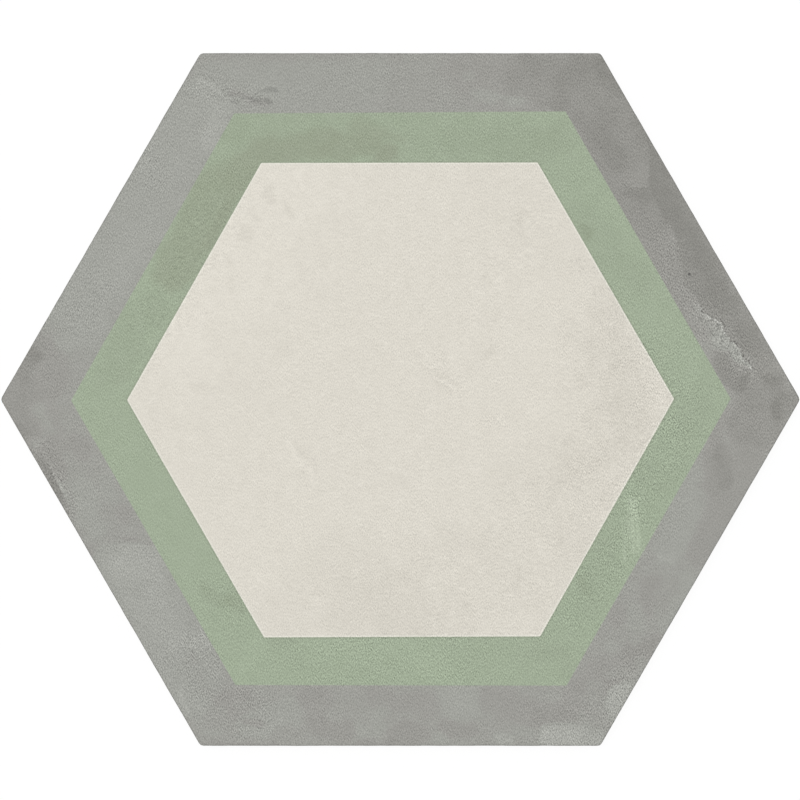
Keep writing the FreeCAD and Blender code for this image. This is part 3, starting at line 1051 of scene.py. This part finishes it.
def stoneware():
    """Printed and fired stoneware: the print on the face, over the arris, and the bare body below."""
    material = bpy.data.materials.new("printed_stoneware")
    n = Nodes(material)
    place = n.scaled(n.put("TexCoord", {}).outputs["Object"], 1 / MM)
    height = n.put("SeparateXYZ", {"Vector": place}).outputs["Z"]

    mottle = n.times(n.noise(place, MOTTLE_SIZE, 5.0, 0.62), n.value("mottle_strength"))
    edge = n.times_plus(n.noise(place, 1.5, 4.0, 0.7), 2.4, n.value("edge_across"))
    colour, green_zone, cream_zone = printed_colour(n, place, mottle, edge)
    colour = marked(n, place, scraped(n, place, colour, edge))
    # Painted shade over the arris, where the face turns down away from the light
    rim = n.ramp(height, THICKNESS - RIM_SHADE_FROM, THICKNESS - RIM_SHADE_FULL)
    colour = n.mix(n.times(rim, RIM_SHADE_SHARE), colour, RIM_SHADE)

    body = n.mix(n.ramp(n.noise(place, 3.0, 4.0, 0.6), -0.2, 0.2), BODY_DARK, BODY)
    body = n.mix(n.ramp(height, ENGOBE_HEIGHT, 0.0), body, ENGOBE)
    print_foot = n.times_plus(n.noise(place, 2.5, 4.0, 0.6), 1.6, height)
    colour = n.mix(n.ramp(print_foot, PRINT_FOOT, PRINT_FOOT + PRINT_FADE), body, colour)
    grain = n.noise(n.moved(place, turn=GRAIN_TURN, scale=GRAIN_STRETCH), GRAIN_SIZE, 0.0)
    broad = n.noise(n.moved(place, turn=GRAIN_TURN, scale=GRAIN_STRETCH), BROAD_GRAIN_SIZE, 1.0)
    grain = n.times_plus(broad, BROAD_GRAIN_SHARE, grain)
    colour = grained(n, place, colour, grain, green_zone, cream_zone)

    roughness = n.ramp(n.noise(place, 4.0, 3.0, 0.6), -0.3, 0.3, *ROUGHNESS)
    wrinkles = n.times(n.noise(place, 1.6, 2.0), n.ramp(n.value("mottle_strength"), 1.0, 1.6))
    bump_height = n.times_plus(grain, n.value("fine_grain"), wrinkles)
    inputs = {"Height": bump_height, "Strength": BUMP_STRENGTH, "Distance": BUMP_DEPTH * MM}
    bump = n.put("Bump", inputs).outputs["Normal"]
    inputs = {"Base Color": colour, "Roughness": roughness, "Specular IOR Level": SPECULAR, "Normal": bump}
    shader = n.put("BsdfPrincipled", inputs)
    n.put("OutputMaterial", {"Surface": shader.outputs[0]})
    return material


def hexagon_tile():
    points, faces = hexagon_tile_mesh()
    mesh = bpy.data.meshes.new("hexagon_tile_dressed")
    mesh.from_pydata((points * MM).tolist(), [], faces)
    mesh.validate()
    lay_print(mesh, points)
    mesh.shade_smooth()
    mesh.set_sharp_from_angle(angle=math.radians(SHARP_ANGLE))
    mesh.materials.append(stoneware())
    return placed("hexagon_tile_dressed", mesh)


def floor():
    """A white floor with an opening where the tile's back lies, so that the back shows from below."""
    corners = np.concatenate([hexagon_ring(1, BACK_APOTHEM * MM), hexagon_ring(1, FLOOR_REACH)])
    points = [(x, y, -FLOOR_DROP) for x, y in corners]
    faces = [(k, k + SIDES, (k + 1) % SIDES + SIDES, (k + 1) % SIDES) for k in range(SIDES)]
    mesh = bpy.data.meshes.new("floor")
    mesh.from_pydata(points, [], faces)
    material = bpy.data.materials.new("white_floor")
    n = Nodes(material)
    lit = n.put("BsdfDiffuse", {"Color": FLOOR_WHITE})
    glow = n.put("Emission", {"Strength": FLOOR_GLOW})
    share = n.times(n.seen(), FLOOR_GLOW_SHARE)
    both = n.put("MixShader", {0: share, 1: lit.outputs[0], 2: glow.outputs[0]})
    clear = n.put("BsdfTransparent", {})
    below = n.put("NewGeometry", {}).outputs["Backfacing"]
    surface = n.put("MixShader", {0: below, 1: both.outputs[0], 2: clear.outputs[0]})
    n.put("OutputMaterial", {"Surface": surface.outputs[0]})
    mesh.materials.append(material)
    return placed("floor", mesh)


def light():
    """A large softbox above, to the upper left, and an even sky that shows as white."""
    world = bpy.data.worlds.new("studio")
    bpy.context.scene.world = world
    n = Nodes(world)
    towards = n.put("TexCoord", {}).outputs["Generated"]
    upward = n.put("SeparateXYZ", {"Vector": towards}).outputs["Z"]
    above = n.math("GREATER_THAN", upward, 0.0)
    strength = n.math("MAXIMUM", n.mix_value(above, 1.0, SKY_STRENGTH), n.seen())
    sky = n.put("Background", {"Color": (1, 1, 1, 1), "Strength": strength})
    n.put("OutputWorld", {"Surface": sky.outputs[0]})

    lamp = bpy.data.lights.new("softbox", "AREA")
    lamp.shape = "SQUARE"
    lamp.size = SOFTBOX_SIZE
    lamp.energy = SOFTBOX_POWER
    softbox = placed("softbox", lamp)
    softbox.location = SOFTBOX_AT
    softbox.rotation_euler = (-Vector(SOFTBOX_AT)).to_track_quat("-Z", "Y").to_euler()
    softbox.visible_camera = False


def camera():
    """Looks straight down, with the photograph's top along +Y."""
    data = bpy.data.cameras.new("camera")
    data.lens = LENS
    data.sensor_width = SENSOR
    view = placed("camera", data)
    distance = FRAME_WIDTH * LENS / SENSOR
    view.location = Vector((*CAMERA_AT, THICKNESS - FACE_ARRIS + distance)) * MM
    bpy.context.scene.camera = view


tile = hexagon_tile()
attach(tile, "root")
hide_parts("hexagon_tile")
floor()
light()
camera()
bpy.context.scene.view_settings.view_transform = "Standard"
